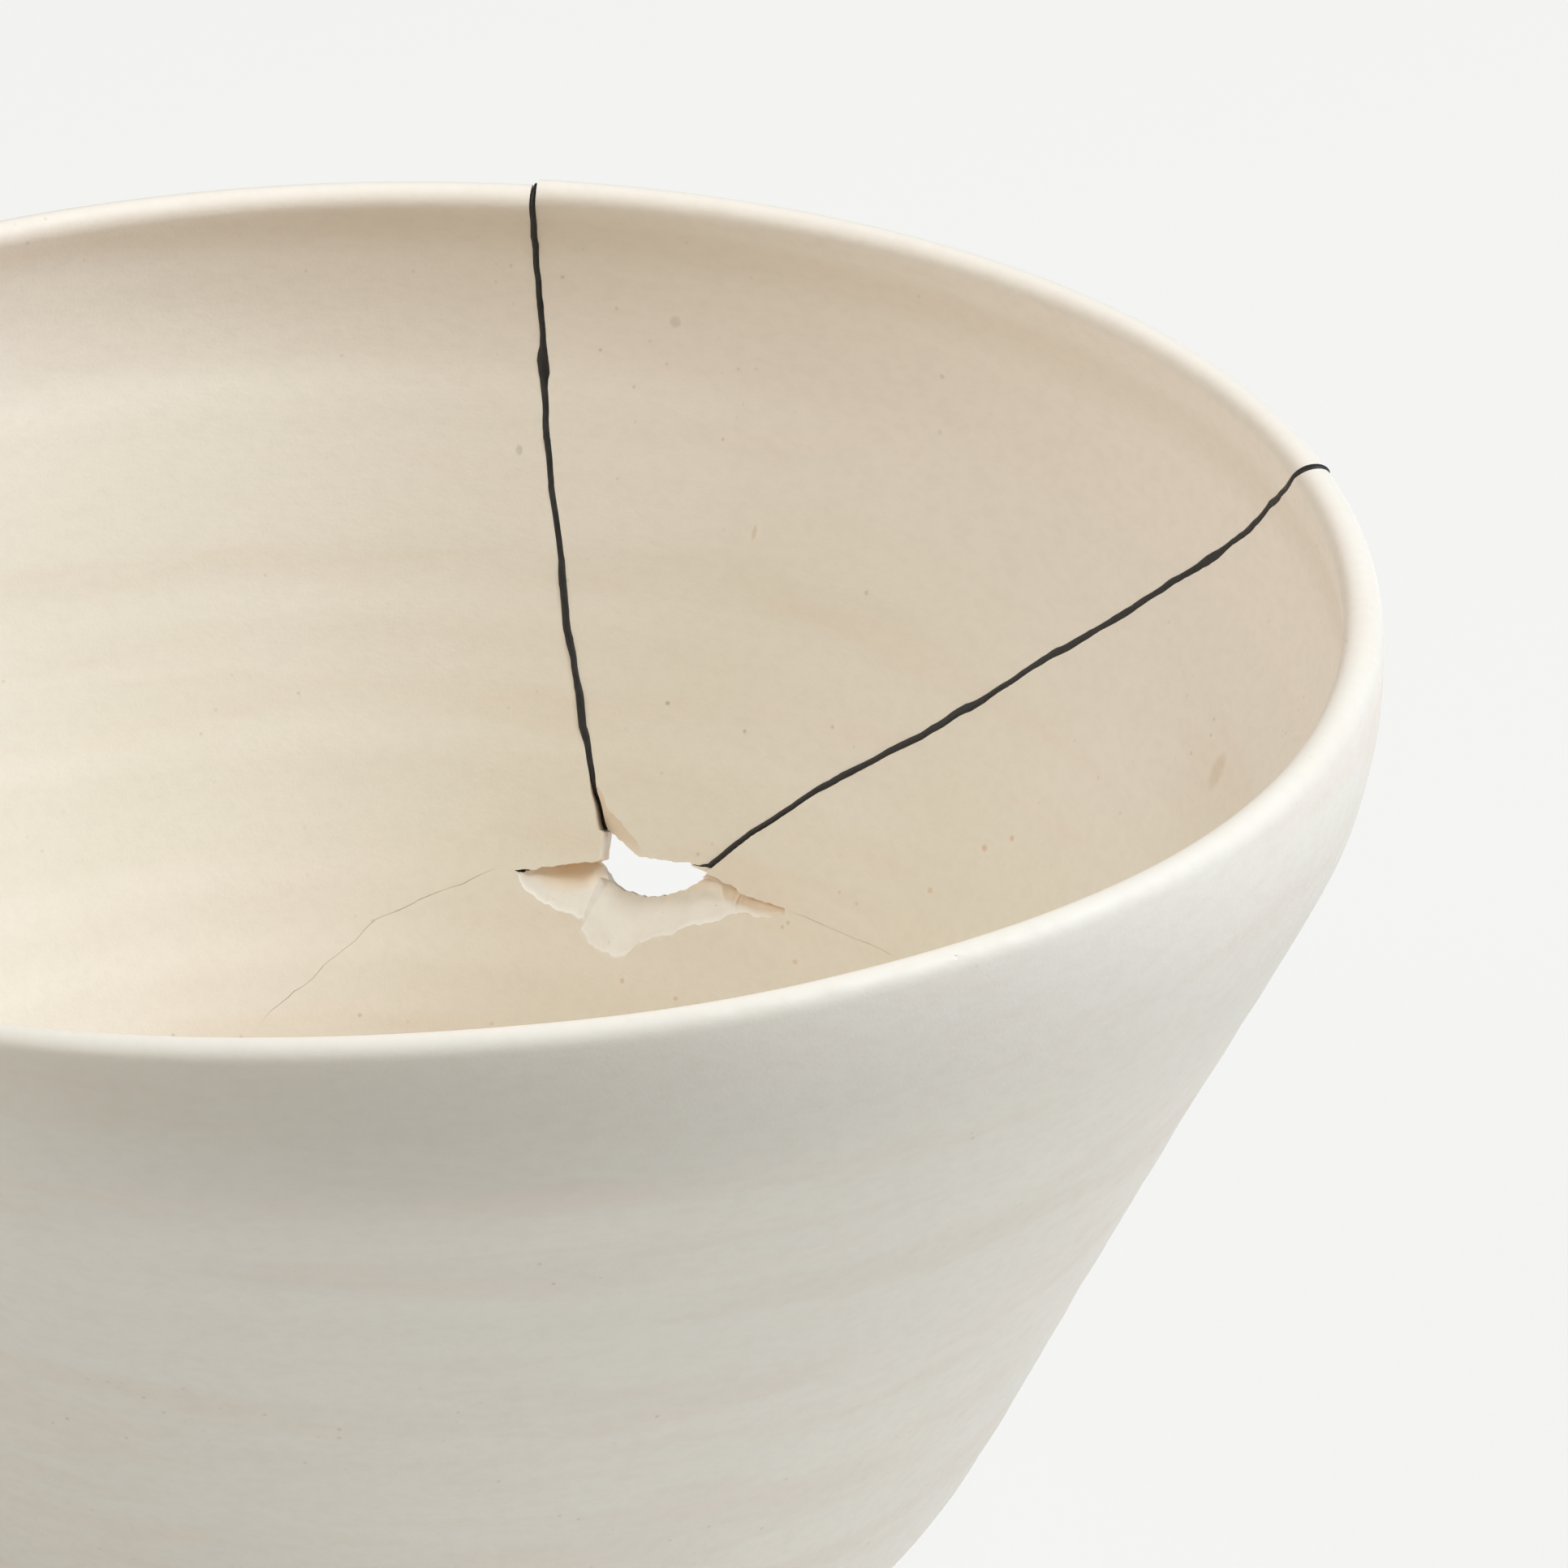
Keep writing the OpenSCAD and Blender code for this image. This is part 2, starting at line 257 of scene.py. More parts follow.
def relief(angle, depth, inside):
    """How far the thrown surface swells from the true outline, in millimetres."""
    a = np.radians(angle)
    level = depth - RING_DROP * np.cos(a)
    soft = (0.035 * np.sin(level / 1.9 + 1.3 * np.sin(a + 0.4))
            + 0.03 * np.sin(level / 1.13 + np.sin(2 * a + 1.0))
            + 0.05 * np.sin(level / 4.3 + 0.8 * np.sin(a + 2.0)))
    rings = sum(h * (0.75 + 0.25 * np.sin(a + d)) * np.exp(-((level - d) / w) ** 2) for d, h, w in RINGS)
    broad = 0.09 * np.sin(level / 9.0 + 1.1 * np.sin(a - 1.0)) * np.sin(a * 3 + 0.5 + level / 40.0)
    return np.where(inside, soft + rings, 0.8 * soft + broad)


def warp(points):
    """The bowl's departure from round: a slight oval, and a rim that sags and spreads in two places."""
    x, y, z = points[..., 0], points[..., 1], points[..., 2]
    a = np.arctan2(y, x)
    high = np.clip(z / BOWL_H, 0, 1) ** 3
    grow = 1 + 0.0012 * high * np.cos(2 * a - 0.6)
    lift = 0.13 * high * np.sin(3 * a + 0.8)
    for angle, reach, spread, sag in RIM_SAGS:
        apart = np.abs((np.degrees(a) - angle + 180) % 360 - 180)
        share = high * (0.5 + 0.5 * np.cos(math.pi * np.clip(apart / reach, 0, 1)))
        grow = grow + share * spread / WIDEST_R
        lift = lift - share * sag
    return np.stack([x * grow, y * grow, z + lift], -1)


# ---------------------------------------------------------------- lines and meshes
def even_line(line, step):
    """A smooth line through (angle, depth) points, in steps of about the length given."""
    p = np.array(line, float)
    radius = inside_r(BOWL_H - p[:, 1])
    arc = np.diff(p[:, 0]) * math.pi / 180 * (radius[1:] + radius[:-1]) / 2
    run = np.concatenate([[0], np.cumsum(np.hypot(arc, np.diff(p[:, 1]) / math.cos(CONE_SLOPE)))])
    s = np.linspace(0, run[-1], max(2, int(round(run[-1] / step)) + 1))
    tangent = np.gradient(p, run, axis=0)
    k = np.clip(np.searchsorted(run, s, "right") - 1, 0, len(run) - 2)
    h = (run[k + 1] - run[k])[:, None]
    t = ((s - run[k]) / (run[k + 1] - run[k]))[:, None]
    flat = 0.55
    return ((2 * t**3 - 3 * t**2 + 1) * p[k] + (t**3 - 2 * t**2 + t) * h * tangent[k] * flat
            + (3 * t**2 - 2 * t**3) * p[k + 1] + (t**3 - t**2) * h * tangent[k + 1] * flat)


def resampled(line, count):
    """The straight line through (angle, depth) points, as a number of points evenly along it."""
    p = np.array(line, float)
    run = np.concatenate([[0], np.cumsum(np.hypot(np.diff(p[:, 0]) * 1.3, np.diff(p[:, 1])))])
    s = np.linspace(0, run[-1], count)
    return np.stack([np.interp(s, run, p[:, 0]), np.interp(s, run, p[:, 1])], -1)


def resampled_by(line, count):
    """The same with the line's own points at even shares of it, for lines that go in pairs."""
    p = np.array(line, float)
    s = np.linspace(0, 1, count)
    at = np.linspace(0, 1, len(p))
    return np.stack([np.interp(s, at, p[:, 0]), np.interp(s, at, p[:, 1])], -1)


def square_to(line):
    """For each point of a line, the (angle, depth) step that moves it 1 mm to its side."""
    arc = inside_r(BOWL_H - line[:, 1]) * math.pi / 180
    ahead = np.gradient(line, axis=0)
    run = np.stack([ahead[:, 0] * arc, ahead[:, 1] / math.cos(CONE_SLOPE)], -1)
    run /= np.linalg.norm(run, axis=1)[:, None]
    return np.stack([-run[:, 1] / arc, run[:, 0] * math.cos(CONE_SLOPE)], -1)


def wobble(count, seed, scale, size):
    """A run of smooth uneven steps either side of nought."""
    out = [noise.fractal(Vector((i * scale, seed, 0.37)), 1.0, 2.0, 3) for i in range(count)]
    return size * np.array(out)


def new_object(name, mesh, materials, index):
    """An object of a mesh, with one of its materials on every face."""
    for m in materials:
        mesh.materials.append(m)
    mesh.polygons.foreach_set("material_index", np.full(len(mesh.polygons), index, np.int32))
    mesh.update()
    piece = bpy.data.objects.new(name, mesh)
    bpy.context.scene.collection.objects.link(piece)
    return piece


def new_mesh(name, points, faces, materials, index=0):
    """An object from points in millimetres."""
    mesh = bpy.data.meshes.new(name)
    mesh.from_pydata((np.asarray(points) * MM).tolist(), [], faces)
    return new_object(name, mesh, materials, index)


def face_outward(piece):
    """Turns every face of a closed mesh to the outside."""
    bm = bmesh.new()
    bm.from_mesh(piece.data)
    bmesh.ops.recalc_face_normals(bm, faces=bm.faces)
    bm.to_mesh(piece.data)
    bm.free()
    return piece


def slab(name, inner, outer, materials, index):
    """A closed solid between two grids of points with as many rows and columns."""
    rows, cols = inner.shape[:2]
    layer = rows * cols
    n = np.arange(layer).reshape(rows, cols)
    quads = np.stack([n[:-1, :-1], n[:-1, 1:], n[1:, 1:], n[1:, :-1]], -1).reshape(-1, 4)
    rim = np.concatenate([n[0, :-1], n[:-1, -1], n[-1, :0:-1], n[:0:-1, 0]])
    sides = [(a, a + layer, b + layer, b) for a, b in zip(rim, np.roll(rim, -1))]
    faces = quads[:, ::-1].tolist() + (quads + layer).tolist() + [[int(v) for v in f] for f in sides]
    points = np.concatenate([inner.reshape(-1, 3), outer.reshape(-1, 3)])
    return face_outward(new_mesh(name, warp(points), faces, materials, index))


def cut(piece, cutters, operation="DIFFERENCE"):
    """Cuts a piece with closed solids, whose own faces keep their material in the cut."""
    for i, cutter in enumerate(cutters):
        m = piece.modifiers.new(f"cut_{i}", "BOOLEAN")
        m.operation = operation
        m.solver = "EXACT"
        m.material_mode = "INDEX"
        m.object = cutter
    graph = bpy.context.evaluated_depsgraph_get()
    mesh = bpy.data.meshes.new_from_object(piece.evaluated_get(graph), depsgraph=graph)
    piece.modifiers.clear()
    old = piece.data
    piece.data = mesh
    bpy.data.meshes.remove(old)
    for cutter in cutters:
        bpy.data.objects.remove(cutter)


def shade(piece, crease):
    """Shades smooth, with edges past an angle kept sharp."""
    piece.data.shade_smooth()
    piece.data.set_sharp_from_angle(angle=crease)
    print(piece.name, "triangles", sum(len(p.vertices) - 2 for p in piece.data.polygons))


def finish_mesh(piece):
    """Welds what a cut left, and shades it."""
    bm = bmesh.new()
    bm.from_mesh(piece.data)
    bmesh.ops.remove_doubles(bm, verts=bm.verts, dist=WELD)
    bmesh.ops.dissolve_degenerate(bm, edges=bm.edges, dist=WELD / 2)
    bm.to_mesh(piece.data)
    bm.free()
    shade(piece, WALL_CREASE)


# ---------------------------------------------------------------- material nodes
class Nodes:
    """Short calls that add nodes to one material and link them."""

    def __init__(self, name):
        self.material = bpy.data.materials.new(name)
        self.material.use_nodes = True
        self.tree = self.material.node_tree
        self.shader = self.tree.nodes["Principled BSDF"]

    def fill(self, node, inputs):
        """Sets a node's inputs, each from a value or a link."""
        for key, value in inputs.items():
            if isinstance(value, bpy.types.NodeSocket):
                self.tree.links.new(value, node.inputs[key])
            else:
                node.inputs[key].default_value = value

    def add(self, kind, inputs=None, **settings):
        node = self.tree.nodes.new(kind)
        for key, value in settings.items():
            setattr(node, key, value)
        self.fill(node, inputs or {})
        return node

    def math(self, operation, a, b=0.0, c=0.0, clamp=False):
        return self.add("ShaderNodeMath", {0: a, 1: b, 2: c}, operation=operation, use_clamp=clamp).outputs[0]

    def times(self, a, b):
        return self.math("MULTIPLY", a, b)

    def vector(self, operation, a, b):
        return self.add("ShaderNodeVectorMath", {0: a, 1: b}, operation=operation)

    def place(self):
        """The place on the piece, its x, y and z, and how far it is from the bowl's axis."""
        place = self.add("ShaderNodeTexCoord").outputs["Object"]
        x, y, z = self.add("ShaderNodeSeparateXYZ", {0: place}).outputs
        square = self.math("ADD", self.times(x, x), self.times(y, y))
        return place, x, y, z, self.math("SQRT", square)

    def join(self, x, y, z):
        return self.add("ShaderNodeCombineXYZ", {0: x, 1: y, 2: z}).outputs[0]

    def noise(self, place, scale, detail=3.0, roughness=0.55):
        node = self.add("ShaderNodeTexNoise", {"Vector": place, "Scale": scale, "Detail": detail,
                                               "Roughness": roughness})
        return node.outputs["Fac"]

    def fade(self, value, low, high, start=0.0, end=1.0):
        """Goes from start to end as value goes from low to high, smoothly."""
        node = self.add("ShaderNodeMapRange", {"Value": value, "From Min": low, "From Max": high,
                                               "To Min": start, "To Max": end},
                        interpolation_type="SMOOTHSTEP", clamp=True)
        return node.outputs["Result"]

    def mix(self, share, a, b):
        """Goes from colour a to colour b with the share."""
        return self.add("ShaderNodeMix", {0: share, 6: a, 7: b}, data_type="RGBA").outputs[2]

    def table(self, value, points):
        """A value looked up in (from, to) points, joined by straight lines."""
        p = np.array(points, float)
        p = p[np.argsort(p[:, 0])]
        low, high = p.min(axis=0), p.max(axis=0)
        share = self.add("ShaderNodeMapRange", {"Value": value, "From Min": low[0], "From Max": high[0]})
        node = self.add("ShaderNodeFloatCurve", {"Value": share.outputs["Result"]})
        curve = node.mapping.curves[0].points
        while len(curve) < len(p):
            curve.new(0.5, 0.5)
        for spot, place in zip(curve, (p - low) / (high - low)):
            spot.location = place
            spot.handle_type = "VECTOR"
        node.mapping.update()
        return self.math("MULTIPLY_ADD", node.outputs[0], high[1] - low[1], low[1])

    def bump(self, height, distance, strength, normal=None):
        inputs = {"Height": height, "Distance": distance, "Strength": strength}
        if normal is not None:
            inputs["Normal"] = normal
        return self.add("ShaderNodeBump", inputs).outputs[0]

    def feed(self, **sockets):
        """Sets the shader's own sockets, from a value or a link."""
        self.fill(self.shader, {name.replace("_", " "): value for name, value in sockets.items()})


def srgb(r, g, b):
    """A colour written as it looks, in 0 to 255."""
    def linear(v):
        v /= 255
        return v / 12.92 if v <= 0.04045 else ((v + 0.055) / 1.055) ** 2.4
    return (linear(r), linear(g), linear(b), 1.0)


# Stains on the inside: angle, depth, half width, half height, strength, colour
STAINS = [
    (70.2, 14.2, 0.75, 0.7, 0.24, srgb(176, 152, 124)),
    (80.4, 29, 0.45, 0.6, 0.32, srgb(150, 148, 132)),
    (62.3, 34.4, 0.3, 0.9, 0.32, srgb(202, 164, 112)),
    (10.2, 33.4, 1.6, 2.4, 0.28, srgb(196, 160, 124)),
    (50.5, 14, 0.35, 0.3, 0.28, srgb(198, 170, 130)),
    (49.9, 19.9, 0.3, 0.3, 0.24, srgb(198, 170, 130)),
    (52.3, 37.5, 0.3, 0.3, 0.28, srgb(140, 124, 104)),
    (67, 53.1, 0.3, 0.25, 0.42, srgb(128, 112, 96)),
    (60, 54.4, 0.25, 0.25, 0.35, srgb(140, 120, 100)),
    (33.8, 56.6, 0.5, 0.4, 0.42, srgb(206, 152, 92)),
    (31.2, 54.2, 0.4, 0.35, 0.42, srgb(206, 152, 92)),
    (37.9, 63.1, 0.45, 0.35, 0.35, srgb(206, 156, 100)),
    (49.9, 75.4, 0.4, 0.3, 0.35, srgb(206, 156, 104)),
    (67.3, 81.7, 0.3, 0.3, 0.35, srgb(198, 150, 104)),
    (61.5, 82.4, 0.3, 0.25, 0.35, srgb(198, 150, 104)),
    (92, 77.3, 0.3, 0.2, 0.25, srgb(206, 156, 104)),
]


def porcelain():
    """Unglazed porcelain: cream clay with soft throwing bands, fine streaks, grain and pinholes."""
    n = Nodes("porcelain")
    place, x, y, z, radius = n.place()
    safe = n.math("MAXIMUM", radius, 0.004)
    cos_a, sin_a = n.math("DIVIDE", x, safe), n.math("DIVIDE", y, safe)
    level = n.math("MULTIPLY_ADD", cos_a, RING_DROP * MM, z)

    # How far out from the middle of the wall, so that inside and outside differ
    heights = [4.2, 5.5, 8, 14, 22, 32, 60, 90, 108, 118, BOWL_H]
    middle = [0.0, 25.0] + [float(inside_r(h)) + LIP_R / math.cos(float(slope_at(h))) for h in heights[2:]]
    out = n.math("SUBTRACT", radius, n.table(z, np.stack([heights, middle], -1) * MM))
    inside = n.fade(out, -LIP_R * 0.5 * MM, LIP_R * 0.5 * MM, 1.0, 0.0)

    # Places stretched round the bowl, for bands and streaks
    bands_at = n.join(n.times(cos_a, 0.012), n.times(sin_a, 0.012), level)
    streaks_at = n.join(n.times(cos_a, 0.05), n.times(sin_a, 0.05), level)
    mottle = n.noise(place, 22.0, 2.0)
    bands = n.noise(bands_at, 130.0, 3.0, 0.6)
    band_hue = n.noise(bands_at, 55.0, 2.0)
    streaks = n.noise(streaks_at, 900.0, 3.0, 0.6)
    grain = n.noise(place, 2600.0, 2.0)

    inner = n.mix(n.fade(mottle, 0.35, 0.65), srgb(236, 228, 214), srgb(239, 231, 220))
    inner = n.mix(n.fade(band_hue, 0.4, 0.66, 0.0, 0.5), inner, srgb(232, 227, 211))
    inner = n.mix(n.fade(bands, 0.5, 0.72, 0.0, 0.5), inner, srgb(233, 217, 200))
    # Painted light: the inside wall and the lip's inner side are made lighter and pinker towards the lip
    inner = n.mix(n.fade(level, 0.09, 0.112, 0.0, 0.75), inner, srgb(248, 238, 227))
    inner = n.mix(n.fade(z, 0.02, 0.06, 0.6, 0.0), inner, srgb(222, 210, 194))
    outer = n.mix(n.fade(mottle, 0.35, 0.65), srgb(236, 230, 221), srgb(238, 232, 222))
    outer = n.mix(n.fade(band_hue, 0.45, 0.62, 0.0, 0.4), outer, srgb(234, 231, 221))
    outer = n.mix(n.fade(bands, 0.46, 0.68, 0.0, 0.5), outer, srgb(233, 221, 209))
    colour = n.mix(inside, outer, inner)
    colour = n.mix(n.fade(streaks, 0.35, 0.75, 0.0, 0.12), colour, srgb(212, 202, 188))

    # A tan line just under the lip on the inside: partly a tint of the clay, partly painted shade where the
    # lip's tuck overhangs
    below = n.math("SUBTRACT", BOWL_H * MM, level)
    line = n.times(n.fade(below, 0.0012, 0.0035), n.fade(below, 0.0045, 0.009, 1.0, 0.0))
    colour = n.mix(n.times(n.times(line, inside), 0.2), colour, srgb(220, 200, 178))

    # Pinholes, thicker in some bands
    cells = n.add("ShaderNodeTexVoronoi", {"Vector": place, "Scale": 520.0, "Randomness": 1.0})
    dot = n.fade(cells.outputs["Distance"], 0.06, 0.17, 1.0, 0.0)
    patch = n.times(n.fade(bands, 0.46, 0.62), n.fade(mottle, 0.42, 0.56))
    rare = n.fade(n.add("ShaderNodeSeparateColor", {0: cells.outputs["Color"]}).outputs[0], 0.55, 0.6)
    holes = n.times(n.times(dot, rare), patch)
    colour = n.mix(n.times(holes, 0.28), colour, srgb(150, 128, 100))

    for angle, depth, wide, high, strength, tint in STAINS:
        centre = on_wall(angle, depth, 0) * MM
        a = math.radians(angle)
        away = n.vector("SUBTRACT", place, tuple(centre)).outputs[0]
        side = n.vector("DOT_PRODUCT", away, (-math.sin(a), math.cos(a), 0)).outputs["Value"]
        up = n.vector("DOT_PRODUCT", away, (0, 0, 1)).outputs["Value"]
        depthwise = n.vector("DOT_PRODUCT", away, (math.cos(a), math.sin(a), 0)).outputs["Value"]
        ring = n.math("ADD", n.math("POWER", n.math("DIVIDE", side, wide * MM), 2.0),
                      n.math("POWER", n.math("DIVIDE", up, high * MM), 2.0))
        ring = n.math("ADD", ring, n.math("POWER", n.math("DIVIDE", depthwise, 2.0 * MM), 2.0))
        ring = n.math("MULTIPLY_ADD", grain, 0.8, ring)
        colour = n.mix(n.fade(ring, 0.5, 1.7, strength, 0.0), colour, tint)

    height = n.math("ADD", n.times(streaks, 0.6), n.times(bands, 0.5))
    rings = n.bump(height, 0.00012, 0.5)
    fine = n.bump(n.math("SUBTRACT", grain, n.times(holes, 1.5)), 0.00003, 0.5, rings)
    n.feed(Base_Color=colour, Roughness=n.fade(streaks, 0.3, 0.7, 0.5, 0.62), Normal=fine,
           Specular_IOR_Level=0.4)
    return n.material


def fracture():
    """Broken porcelain: pale and grainy, stained tan with painted shade below the sharp edges and stained
    beside the left seam, with a painted highlight along the flakes' thin edges.
    """
    n = Nodes("fracture")
    place, x, y, z, radius = n.place()
    face = n.math("MULTIPLY_ADD", z, math.tan(CONE_SLOPE),
                  (CONE_TOP_R - CONE_TOP_Z * math.tan(CONE_SLOPE)) * MM)
    bite = n.times(n.math("SUBTRACT", radius, face), math.cos(CONE_SLOPE))
    angle = n.times(n.math("ARCTAN2", y, x), 180 / math.pi)
    depth = n.math("MULTIPLY_ADD", z, -1 / MM, BOWL_H)
    grain = n.noise(place, 900.0, 4.0, 0.65)
    cloud = n.noise(place, 190.0, 3.0)
    uneven = n.math("MULTIPLY_ADD", cloud, 1.6, -0.8)

    # Millimetres below the scars' upper edge
    below = n.math("ADD", n.math("SUBTRACT", depth, n.table(angle, STAIN_AND_SHADE_TOP)), uneven)
    reach = n.table(angle, STAIN_AND_SHADE_REACH)
    fade = n.math("SUBTRACT", 1.0, n.math("DIVIDE", below, reach), clamp=True)
    # Tan stain with painted shade: strongest right under the sharp edges, fading below them
    stain_and_shade = n.times(n.math("POWER", fade, 0.7), n.table(angle, STAIN_AND_SHADE_STRENGTH))
    stain_and_shade = n.times(stain_and_shade, n.fade(depth, 69.6, 70.2))
    chips = n.times(n.fade(angle, 66.0, 67.5), n.fade(depth, 67.0, 69.6, 0.5, 0.12))
    chips = n.times(chips, n.fade(depth, 70.0, 70.2, 1.0, 0.0))

    # Painted highlight: a whiter line where a flake runs out to nothing on the thrown face, and down the
    # hole's left edge, where light catches the thin rounded edge
    edge = n.fade(n.math("MULTIPLY_ADD", cloud, 0.0003, bite), 0.00016, 0.0005, 1.0, 0.0)
    white = n.math("MAXIMUM", n.fade(depth, 71.5, 73.0), n.fade(angle, 70.9, 71.3))
    edge = n.times(edge, white)

    colour = n.mix(n.fade(cloud, 0.35, 0.65), srgb(242, 237, 230), srgb(238, 232, 224))
    # Painted highlight along the thin edges
    colour = n.mix(n.times(edge, 0.7), colour, srgb(249, 246, 241))
    # Painted shade and tan stain below the scars' sharp edges
    colour = n.mix(stain_and_shade, colour, srgb(238, 208, 171))
    colour = n.mix(chips, colour, srgb(226, 202, 172))
    dirt = n.times(n.fade(angle, 70.7, 71.1), n.fade(depth, 65.9, 68.2, 1.0, 0.0))
    dirt = n.times(dirt, n.fade(n.math("MULTIPLY_ADD", cloud, 0.003, bite), 0.0022, 0.0046))
    colour = n.mix(n.times(dirt, 0.75), colour, srgb(92, 68, 48))
    specks = n.fade(n.noise(place, 1500.0, 2.0), 0.7, 0.77)
    colour = n.mix(n.times(specks, 0.2), colour, srgb(150, 118, 88))
    # The little nicks on the lip are smoother than the big break
    coarse = n.fade(depth, 10.0, 30.0, 0.15, 0.6)
    rough = n.bump(n.math("ADD", grain, n.times(cloud, 1.5)), 0.00012, coarse)
    n.feed(Base_Color=colour, Roughness=0.75, Normal=rough, Specular_IOR_Level=0.3)
    return n.material


def crack_line(name, dark, light):
    """The walls of a fine crack: stained, with the stain coming and going."""
    n = Nodes(name)
    place = n.add("ShaderNodeTexCoord").outputs["Object"]
    patch = n.noise(place, 260.0, 3.0)
    n.feed(Base_Color=n.mix(n.fade(patch, 0.4, 0.62), light, dark), Roughness=0.8)
    return n.material


def filler():
    """Charcoal filler, matt, with a grainy uneven skin."""
    n = Nodes("seam_filler")
    place = n.add("ShaderNodeTexCoord").outputs["Object"]
    lumps = n.noise(place, 700.0, 4.0, 0.6)
    grain = n.noise(place, 3500.0, 2.0)
    colour = n.mix(n.fade(lumps, 0.35, 0.7), srgb(27, 25, 25), srgb(47, 45, 44))
    skin = n.bump(n.math("ADD", lumps, n.times(grain, 0.3)), 0.00012, 0.8)
    n.feed(Base_Color=colour, Roughness=n.fade(lumps, 0.3, 0.7, 0.5, 0.7), Normal=skin)
    return n.material


PORCELAIN, FRACTURE = porcelain(), fracture()
DARK_CRACK = crack_line("dark_crack", srgb(24, 22, 22), srgb(70, 60, 52))
TAN_CRACK = crack_line("tan_crack", srgb(196, 176, 150), srgb(230, 221, 207))
CLAY = [PORCELAIN, FRACTURE, DARK_CRACK, TAN_CRACK]
THROWN, BROKEN, DARK, TAN = range(4)
FILLER = filler()

# ---------------------------------------------------------------- the thrown wall
def bend(centre, r, start, end, count):
    """Part of a circle in the outline, by slope from upright."""
    a = np.linspace(start, end, count + 1)
    return centre + r * np.stack([np.cos(a), -np.sin(a)], -1)


def straight(start, end, count):
    """A straight run of the outline."""
    t = np.linspace(0, 1, count + 1)[:, None]
    return (1 - t) * np.array(start) + t * np.array(end)


def rounded(corner, before, after, r, count=4):
    """Points that round a corner of the outline between two neighbours."""
    corner, before, after = (np.array(p, float) for p in (corner, before, after))
    u = (before - corner) / np.linalg.norm(before - corner)
    v = (after - corner) / np.linalg.norm(after - corner)
    t = np.linspace(0, 1, count + 1)[:, None]
    return (1 - t) ** 2 * (corner + u * r) + 2 * t * (1 - t) * corner + t**2 * (corner + v * r)


def wall_rows(rows):
    """Joins runs of the outline, adding the straight cone between runs that lie apart."""
    out = [rows[0]]
    for run in rows[1:]:
        gap = np.linalg.norm(run[0] - out[-1][-1])
        if gap > 3:
            out.append(straight(out[-1][-1], run[0], int(gap / ROW_STEP))[1:-1])
            out.append(run)
        else:
            out.append(run[1:] if gap < 1e-6 else run)
    return np.concatenate(out)


# The lip's half round, from the inside over to the outside
LIP_TURN = bend(LIP_C, LIP_R, -math.pi - LIP_TUCK, -LIP_TUCK, 14)


def outline_normals(line):
    """Directions square to the outline, out of the clay."""
    ahead = np.gradient(line, axis=0)
    ahead /= np.linalg.norm(ahead, axis=1)[:, None]
    return np.stack([-ahead[:, 1], ahead[:, 0]], -1)


def thrown_points(line, angles, calm):
    """The wall's surface over a line of its outline and a run of angles, with its relief."""
    past_top = np.arange(len(line)) - int(np.argmax(line[:, 1]))
    calm = calm * np.clip(np.abs(past_top) / CALM_ROWS, CALM_LEAST, 1)
    inside = past_top < 0
    normal = outline_normals(line)
    depth = BOWL_H - line[:, 1]
    swell = relief(angles[None, :], depth[:, None], inside[:, None]) * calm[:, None]
    r = line[:, 0][:, None] + normal[:, 0][:, None] * swell
    z = line[:, 1][:, None] + normal[:, 1][:, None] * swell
    return warp(turned(angles[None, :], r, z))


def body_wall():
    """The whole bowl with its foot, as one closed mesh."""
    foot_low = FOOT_R - FOOT_TAPER
    hollow_r = foot_low - FOOT_RING_W
    inner = [straight((MIDDLE_R, FLOOR_Z), (BELLY_C[0], FLOOR_Z), 6),
             bend(BELLY_C, BELLY_IN_R, math.pi / 2, CONE_SLOPE, 30),
             bend(SHOULDER_C, SHOULDER_IN_R, CONE_SLOPE, -LIP_TUCK, 18)]
    outer = [bend(SHOULDER_C, SHOULDER_R, -LIP_TUCK, CONE_SLOPE, 18),
             bend(BELLY_C, BELLY_R, CONE_SLOPE, BELLY_SLOPE - 0.03, 22)]
    corners = [(FOOT_R - 0.2, FOOT_H), (foot_low, 0), (hollow_r, 0), (hollow_r, HOLLOW_Z)]
    around = [outer[-1][-1]] + corners + [(MIDDLE_R, HOLLOW_Z)]
    sizes = [1.2, FOOT_EDGE, FOOT_EDGE, 0.8]
    foot = [rounded(corners[i], around[i], around[i + 2], sizes[i]) for i in range(4)]
    side = straight(foot[0][-1], foot[1][0], 4)[1:-1]
    ring = straight(foot[1][-1], foot[2][0], 4)[1:-1]
    under = straight(foot[-1][-1], (MIDDLE_R, HOLLOW_Z), 7)[1:]
    foot_line = np.concatenate([foot[0], side, foot[1], ring, foot[2], foot[3], under])
    line = wall_rows(inner + [LIP_TURN] + outer)
    # The relief stops short of the foot
    calm = np.concatenate([np.ones(len(line) - 6), np.linspace(1, 0.2, 6), np.zeros(len(foot_line))])
    line = np.concatenate([line, foot_line])

    # Closer together round the break than round the rest
    start, end = 2, 98
    rest = int((360 + start - end) / ROUND_STEP)
    angles = np.concatenate([np.arange(start, end, BREAK_STEP),
                             np.linspace(end, 360 + start, rest, endpoint=False)])
    points = thrown_points(line, angles, calm)
    rows, cols = points.shape[:2]
    n = np.arange(rows * cols).reshape(rows, cols)
    nxt = np.roll(n, -1, axis=1)
    faces = np.stack([n[1:], nxt[1:], nxt[:-1], n[:-1]], -1).reshape(-1, 4).tolist()
    faces += [[int(a), int(b), n.size] for a, b in zip(n[0], nxt[0])]
    faces += [[int(b), int(a), n.size + 1] for a, b in zip(n[-1], nxt[-1])]
    verts = np.concatenate([points.reshape(-1, 3), [[0, 0, FLOOR_Z], [0, 0, HOLLOW_Z]]])
    return face_outward(new_mesh("bowl_wall", verts, faces, CLAY, THROWN))


